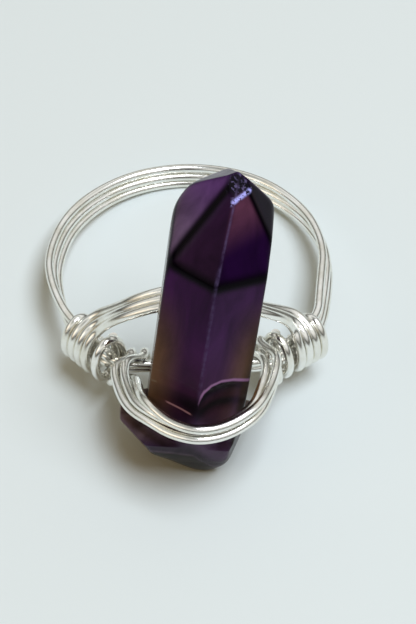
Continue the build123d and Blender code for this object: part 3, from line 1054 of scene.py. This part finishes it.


# Amethyst, tumbled and polished: dark purple painted lighter or darker face by face, with the
# brown of the floor seen through it painted where the stone is thin at its sides and lower
# down, veiled with fine cloud, painted black shade where a seam loses the light, and painted
# reflections of the wire and painted glints. Its polish has a few pits, and gives back little
# of the room: the eye sees into the stone.
def amethyst():
    material, tree, shader = new_material("polished_amethyst")
    # body colour with its painted light and shade baked in
    body = add_node(tree, "ShaderNodeAttribute", attribute_name="body_colour_and_painted_light").outputs["Color"]
    place = add_node(tree, "ShaderNodeAttribute", attribute_name="stone_place").outputs["Vector"]
    marks = []
    for name in ("seam_shade_and_highlights", "wire_reflection_offsets", "wire_reflection_strengths", "dulled"):
        mark = add_node(tree, "ShaderNodeAttribute", attribute_name=name).outputs["Vector"]
        marks.append(add_node(tree, "ShaderNodeSeparateXYZ", [(0, mark)]).outputs)
    band, offset, strength, dulled = marks
    # cloud: veils about 2 mm across, drawn out along the stone
    drawn = add_node(
        tree, "ShaderNodeMapping", [("Vector", place)], inputs={"Scale": (1.0, 1.0, 0.35)}
    )
    veils = add_node(
        tree,
        "ShaderNodeTexNoise",
        [("Vector", drawn.outputs[0])],
        inputs={"Scale": 1 / 2.0, "Detail": 5.0, "Roughness": 0.55, "Distortion": 0.6},
    ).outputs[0]
    # breaks in the painted highlight of the worn seams, spots of painted glint on the chip, pits
    # in the polish, which are sparse and so a tenth of a millimetre across, and its waves: each
    # one's grain in millimetres
    grains = []
    kinds = ((0.5, 3.0, 0.6), (0.25, 2.0, 0.6), (0.3, 2.0, 0.5), (3.0, 2.0, 0.4))
    for grain, detail, roughness in kinds:
        settings = {"Scale": 1 / grain, "Detail": detail, "Roughness": roughness}
        noise = add_node(tree, "ShaderNodeTexNoise", [("Vector", place)], inputs=settings)
        grains.append(noise.outputs[0])
    breaks, spots, pits, waves = grains
    # what each does: its values from low to high give what goes from first to last. The cloud
    # veils the colour and hazes the polish, and what is dulled is rougher.
    levels = []
    for values, low, high, first, last in (
        (veils, 0.30, 0.70, 0.62, 1.45),
        (veils, 0.35, 0.65, 0.24, 0.14),
        (breaks, 0.35, 0.65, 0.10, 0.6),
        (spots, 0.40, 0.50, 0.0, 1.0),
        (spots, 0.56, 0.64, 0.0, 0.7),
        (pits, 0.22, 0.27, -1.0, 0.0),
        (dulled["Y"], 0.0, 1.0, 0.0, 0.40),
    ):
        limits = {"From Min": low, "From Max": high, "To Min": first, "To Max": last}
        level = add_node(tree, "ShaderNodeMapRange", [("Value", values)], inputs=limits)
        levels.append(level.outputs[0])
    veil, haze, kept, bright, fleck_glint, pit, broken = levels
    # colours laid over the body in turn. First painted shade in the seams that swallow the light,
    # then pink, bronze and dim lines of the wire's painted reflection in the stone. A width is
    # half of a line's.
    layers = [(band["X"], "#030105")]
    wire_reflection_looks = (("X", 0.20, "#8C6690"), ("Y", 0.14, "#967078"), ("Z", 0.13, "#6E604E"))
    for axis, width, colour in wire_reflection_looks:
        away = add_node(tree, "ShaderNodeMath", [(0, offset[axis])], operation="ABSOLUTE")
        glint = add_node(
            tree,
            "ShaderNodeMapRange",
            [("Value", away.outputs[0])],
            interpolation_type="SMOOTHSTEP",
            inputs={"From Min": width, "From Max": 0.02},
        )
        factors = [(0, glint.outputs[0]), (1, strength[axis])]
        share = add_node(tree, "ShaderNodeMath", factors, operation="MULTIPLY")
        layers.append((share.outputs[0], colour))
    # then painted highlights: along worn seams that catch the light in pieces, a lavender glint on
    # the lip of the chipped tip, and flecks of glint on the chip itself
    for first, second, colour in (
        (band["Y"], kept, "#564A70"),
        (band["Z"], bright, "#A9AAF6"),
        (fleck_glint, dulled["X"], "#5C547C"),
    ):
        factors = [(0, first), (1, second)]
        share = add_node(tree, "ShaderNodeMath", factors, operation="MULTIPLY")
        layers.append((share.outputs[0], colour))
    veiled = add_node(tree, "ShaderNodeVectorMath", [(0, body), ("Scale", veil)], operation="SCALE")
    laid_over = veiled.outputs[0]
    for share, colour in layers:
        layer = add_node(
            tree,
            "ShaderNodeMix",
            [(0, share), (6, laid_over)],
            data_type="RGBA",
            inputs={7: linear(colour)},
        )
        laid_over = layer.outputs[2]
    tree.links.new(laid_over, shader.inputs["Base Color"])
    wave_bump = add_node(
        tree,
        "ShaderNodeBump",
        [("Height", waves)],
        inputs={"Strength": 0.35, "Distance": 0.12 * MILLIMETRE},
    )
    pit_bump = add_node(
        tree,
        "ShaderNodeBump",
        [("Height", pit), ("Normal", wave_bump.outputs[0])],
        inputs={"Strength": 0.6, "Distance": 0.03 * MILLIMETRE},
    )
    tree.links.new(pit_bump.outputs[0], shader.inputs["Normal"])
    rough = add_node(tree, "ShaderNodeMath", [(0, haze), (1, broken)], operation="ADD")
    tree.links.new(rough.outputs[0], shader.inputs["Roughness"])
    shader.inputs["IOR"].default_value = 1.54
    shader.inputs["Specular IOR Level"].default_value = 0.035
    return material


# Floor of matt card, pale and without a sheen, and how far it reaches each way, in metres
FLOOR_REACH = 0.6


def add_floor():
    """Plain pale floor."""
    mesh = bpy.data.meshes.new("floor")
    sides = ((-1, -1), (1, -1), (1, 1), (-1, 1))
    corners = [(FLOOR_REACH * across, FLOOR_REACH * back, 0) for across, back in sides]
    mesh.from_pydata(corners, [], [(0, 1, 2, 3)])
    floor = add_object("floor", mesh)
    material, _, shader = new_material("matt_card")
    shader.inputs["Base Color"].default_value = linear("#D3DEE0")
    shader.inputs["Roughness"].default_value = 0.9
    mesh.materials.append(material)


# Lights that face the ring. Distances and sizes are in metres and powers in watts.
Lamp = namedtuple("Lamp", "name azimuth elevation distance size power colour")
lamps = [
    Lamp("window", -28, 73, 0.5, 0.24, 2.5, "#EEF2FA"),
    Lamp("card", 205, 25, 0.5, 0.3, 0.20, "#FFECD0"),
]


def add_light(lamp):
    """Soft square light that faces the ring."""
    light = bpy.data.lights.new(lamp.name, "AREA")
    light.shape = "SQUARE"
    light.size = lamp.size
    light.energy = lamp.power
    light.color = linear(lamp.colour)[:3]
    placed = add_object(lamp.name, light)
    facing = direction(lamp.azimuth, lamp.elevation)
    placed.location = facing * lamp.distance
    placed.rotation_euler = facing.to_track_quat("Z", "Y").to_euler()


# Room: the side that its light comes from, its strength, and what bright metal sees besides
ROOM_BRIGHT_SIDE = direction(30, 45)
ROOM_STRENGTH = 0.50
ROOM_IN_METAL = 0.42


def add_surroundings():
    """Room that lights the ring warm in its shadows, and shows neutral in bright metal."""
    world = bpy.data.worlds.new("room")
    bpy.context.scene.world = world
    world.use_nodes = True
    world.cycles.sampling_method = "NONE"
    tree = world.node_tree
    spot = add_node(tree, "ShaderNodeTexCoord").outputs["Generated"]
    towards = add_node(
        tree,
        "ShaderNodeVectorMath",
        [(0, spot)],
        operation="DOT_PRODUCT",
        inputs={1: ROOM_BRIGHT_SIDE},
    )
    warm = add_node(tree, "ShaderNodeValToRGB", [("Fac", towards.outputs["Value"])])
    ramp(warm, [(0.0, "#B48E52"), (0.35, "#C9AC7C"), (0.80, "#E2D8C4")])
    height = add_node(tree, "ShaderNodeSeparateXYZ", [(0, spot)])
    seen = add_node(tree, "ShaderNodeValToRGB", [("Fac", height.outputs["Z"])])
    in_metal = [
        (0.0, "#3A3832"), (0.18, "#5E5C56"), (0.42, "#D6D8D6"),
        (0.62, "#FFFFFF"), (0.80, "#D4D6D2"), (0.97, "#747672"),
    ]
    ramp(seen, in_metal)
    ray = add_node(tree, "ShaderNodeLightPath").outputs["Is Glossy Ray"]
    colour = add_node(
        tree,
        "ShaderNodeMix",
        [(0, ray), (6, warm.outputs[0]), (7, seen.outputs[0])],
        data_type="RGBA",
    )
    background = tree.nodes["Background"]
    tree.links.new(colour.outputs[2], background.inputs["Color"])
    strength = add_node(
        tree,
        "ShaderNodeMath",
        [(0, ray)],
        operation="MULTIPLY_ADD",
        inputs={1: ROOM_IN_METAL, 2: ROOM_STRENGTH},
    )
    tree.links.new(strength.outputs[0], background.inputs["Strength"])


bpy.context.scene.view_settings.view_transform = "Standard"
add_camera()
add_floor()
add_surroundings()
for lamp in lamps:
    add_light(lamp)

silver = silver_plate()
wire_group = wire_tree()
for name, corners in closed_routes.items():
    round_wire(name, corners, True, wire_group, silver)
for name, corners in open_routes.items():
    round_wire(name, corners, False, wire_group, silver)
crystal_mesh(amethyst())
